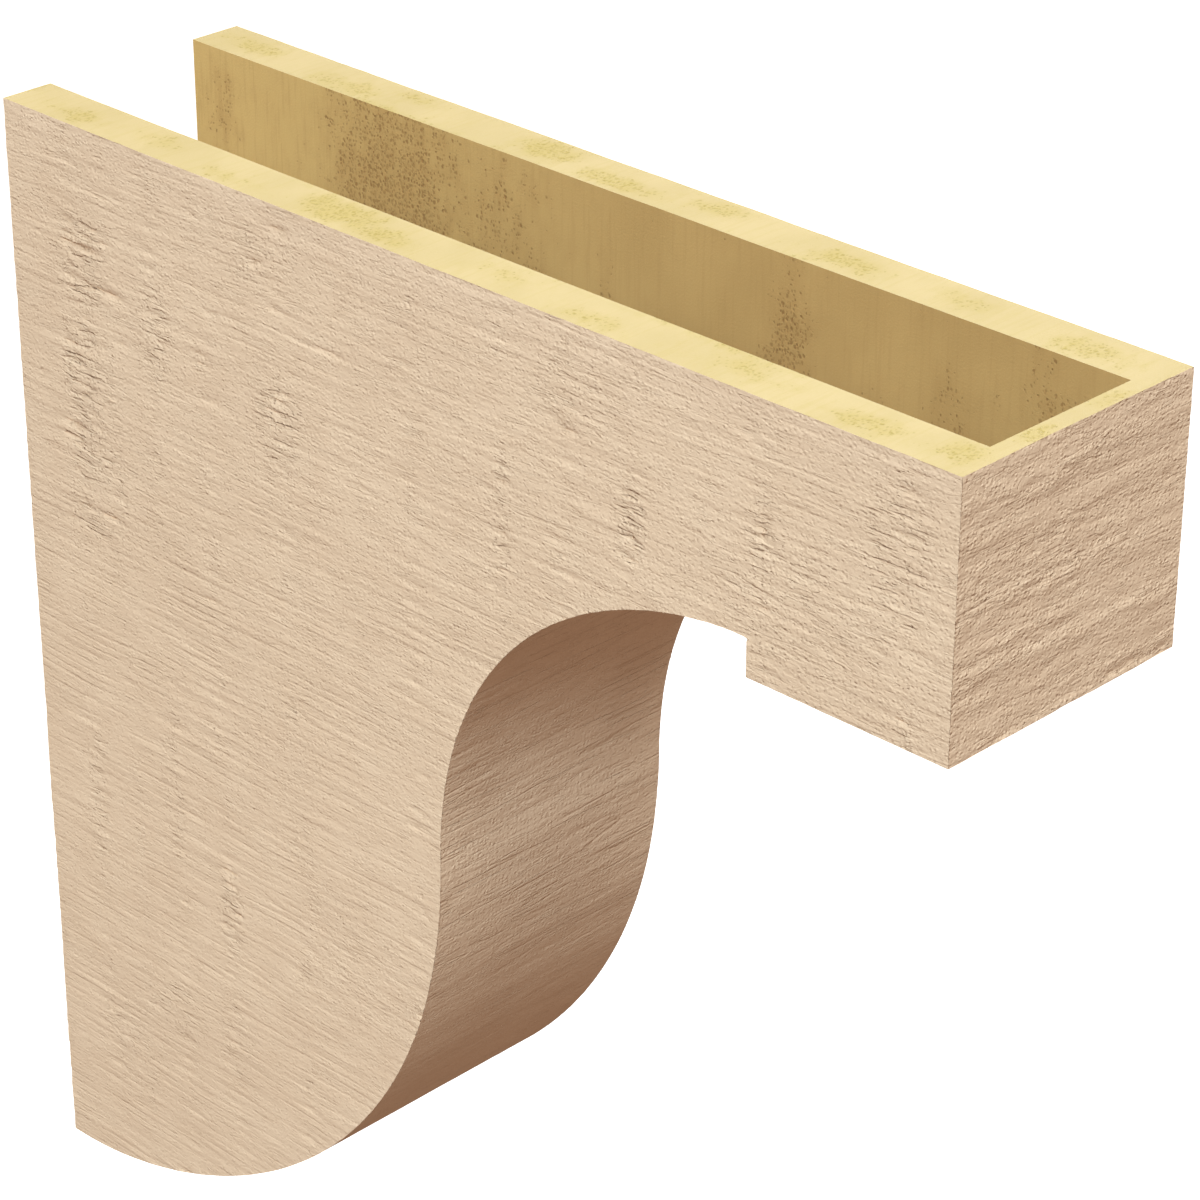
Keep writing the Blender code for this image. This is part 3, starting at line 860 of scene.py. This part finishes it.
def raw_foam(name, inner):
    n = Nodes(name)
    uv = n.add("ShaderNodeUVMap", uv_map="Grain").outputs["UV"]
    # clouds of open cells, drawn out along the map's first direction
    wisp = n.noise(n.scaled(uv, 1 / (11 if inner else 7), 1 / (6 if inner else 4), shift=(4.2, 7.7, 0)), 3.0, 0.6)
    cloud = n.add("ShaderNodeAttribute", attribute_name="open_cells").outputs["Fac"]
    where = n.smooth(n.math("ADD", cloud, n.math("MULTIPLY", n.math("SUBTRACT", wisp, 0.5), 0.9)), 0.0, 1.0)
    # the cells themselves: round specks of mixed size, fewer where the clouds thin out
    pore = None
    for size, shift in ((1.15, (9.0, 3.0, 0)), (1.8, (2.0, 1.0, 0))):
        gap, own = n.dots(n.warp(n.scaled(uv, 0.72 / size, 1 / size, shift=shift), 0.7, 1.3, 1.3))
        chance = n.add("ShaderNodeSeparateColor")
        n.link(own, chance.inputs[0])
        radius = n.math("MULTIPLY", n.math("SUBTRACT", n.math("MULTIPLY", where, 1.25), chance.outputs[0]), 0.8)
        dot = n.smooth(n.math("SUBTRACT", gap, n.math("MINIMUM", radius, 0.34)), -0.20, 0.08, 1.0, 0.0)
        dot = n.math("MULTIPLY", dot, n.math("ADD", n.math("MULTIPLY", chance.outputs[1], 0.7), 0.3))
        pore = dot if pore is None else n.math("MAXIMUM", pore, dot)
    streak = n.noise(n.scaled(uv, 1 / 30, 1 / 1.6, shift=(6.1, 2.1, 0)), 2.0, 0.5)
    tint = n.noise(n.scaled(uv, 1 / 38, 1 / 30, shift=(1.1, 2.1, 0)), 2.0, 0.5)
    light, dark, stain_tone, pore_tone = FOAM_INNER if inner else FOAM_RIM
    tone = n.mix(n.smooth(tint, 0.3, 0.7), light, dark)
    if inner:
        # painted light: the inner walls lighter towards the open back, where more light gets into the hollow
        pale = n.add("ShaderNodeAttribute", attribute_name="pale").outputs["Fac"]
        tone = n.mix(n.math("MULTIPLY", pale, 0.85), tone, FOAM_PAINTED_LIGHT)
    tone = n.mix(n.smooth(streak, 0.5, 0.72, 0.0, 0.18), tone, stain_tone)
    tone = n.mix(n.math("MULTIPLY", where, 0.6 if inner else 0.7), tone, stain_tone)
    tone = n.mix(n.math("MULTIPLY", pore, 0.65), tone, pore_tone)
    n.link(tone, n.shader.inputs["Base Color"])
    fine = n.noise(n.scaled(uv, 1 / 0.8, 1 / 0.8, shift=(3.3, 1.3, 0)), 2.0, 0.6)
    h = n.math("SUBTRACT", n.math("MULTIPLY", fine, 0.10), n.math("MULTIPLY", pore, 0.12))
    n.link(n.bump(h, 0.001), n.shader.inputs["Normal"])
    n.link(n.smooth(fine, 0.3, 0.7, 0.72, 0.84), n.shader.inputs["Roughness"])
    n.shader.inputs["Specular IOR Level"].default_value = 0.28
    return n.mat


for material in (primed_skin(), raw_foam("raw_foam_rim", False), raw_foam("raw_foam_inside", True)):
    mesh.materials.append(material)

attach(body, "root")
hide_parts("corbel_body")

# ---------------------------------------------------------------- stage
# A white floor and a white backdrop, both bright by themselves. Only the camera
# sees them, so that they throw no light back on the piece.
FLOOR_Z = -1.0
white = Nodes("plain_white")
white.shader.inputs["Base Color"].default_value = (0.8, 0.8, 0.8, 1)
white.shader.inputs["Roughness"].default_value = 0.9
white.shader.inputs["Emission Color"].default_value = (1.0, 1.0, 1.0, 1)
white.shader.inputs["Emission Strength"].default_value = 1.0
for name in ("floor", "backdrop"):
    bm = bmesh.new()
    if name == "floor":
        bmesh.ops.create_grid(bm, x_segments=1, y_segments=1, size=8.0)
    else:
        bmesh.ops.create_uvsphere(bm, u_segments=48, v_segments=24, radius=7.5)
    stage_mesh = bpy.data.meshes.new(name)
    bm.to_mesh(stage_mesh)
    bm.free()
    stage_mesh.materials.append(white.mat)
    obj = bpy.data.objects.new(name, stage_mesh)
    obj.location = (0.0, 0.0, FLOOR_Z)
    obj.visible_diffuse = obj.visible_glossy = obj.visible_transmission = obj.visible_shadow = False
    bpy.context.scene.collection.objects.link(obj)


def area_light(name, place, target, size, radiance, colour, spread=180.0):
    """A soft box of the given brightness, aimed at a place."""
    data = bpy.data.lights.new(name, "AREA")
    data.shape = "RECTANGLE"
    data.size, data.size_y = size
    data.energy = radiance * math.pi * size[0] * size[1]
    data.color = colour
    data.spread = math.radians(spread)
    obj = bpy.data.objects.new(name, data)
    obj.location = place
    aim = Vector(target) - Vector(place)
    obj.rotation_mode = "QUATERNION"
    obj.rotation_quaternion = aim.to_track_quat("-Z", "Y")
    obj.visible_camera = False
    bpy.context.scene.collection.objects.link(obj)
    return obj


middle = Vector((0.0, -0.2, 0.2))
key_way = Vector((-0.68, -0.33, 0.655)).normalized()
top_way = Vector((0.0, -0.50, 0.87)).normalized()
far_way = Vector((0.85, 0.40, 0.10)).normalized()
area_light("key", middle + 4.2 * key_way, middle, (1.96, 1.96), 1.62, (0.740, 0.940, 1.055), 40)
area_light("top_front", middle + 4.2 * top_way, middle, (1.96, 1.96), 0.69, (0.729, 0.816, 0.843), 40)
# fills the far side and the back, and reaches the photo's side only by bounce
area_light("far_fill", middle + 4.2 * far_way, middle, (1.96, 1.96), 0.72, (0.76, 0.92, 1.0), 40)

world = bpy.data.worlds.new("soft_studio")
world.use_nodes = True
background = world.node_tree.nodes["Background"]
background.inputs["Color"].default_value = (1.0, 0.733, 0.577, 1)
background.inputs["Strength"].default_value = 0.371
bpy.context.scene.world = world
bpy.context.scene.view_settings.view_transform = "Standard"

# ---------------------------------------------------------------- camera
CAMERA_PLACE = (-0.78581, -0.99323, 0.85043)
AZIMUTH, ELEVATION, ROLL = -45.6015, 27.3493, 0.1829
camera_data = bpy.data.cameras.new("camera")
camera_data.sensor_width = 36.0
camera_data.lens = 118.796
camera = bpy.data.objects.new("camera", camera_data)
a, e = math.radians(AZIMUTH), math.radians(ELEVATION)
back = Vector((math.sin(a) * math.cos(e), -math.cos(a) * math.cos(e), math.sin(e)))
camera.rotation_mode = "QUATERNION"
camera.rotation_quaternion = ((-back).to_track_quat("-Z", "Y").to_matrix()
                              @ Matrix.Rotation(math.radians(ROLL), 3, "Z")).to_quaternion()
camera.location = CAMERA_PLACE
camera_data.clip_start, camera_data.clip_end = 0.05, 50.0
bpy.context.scene.collection.objects.link(camera)
bpy.context.scene.camera = camera
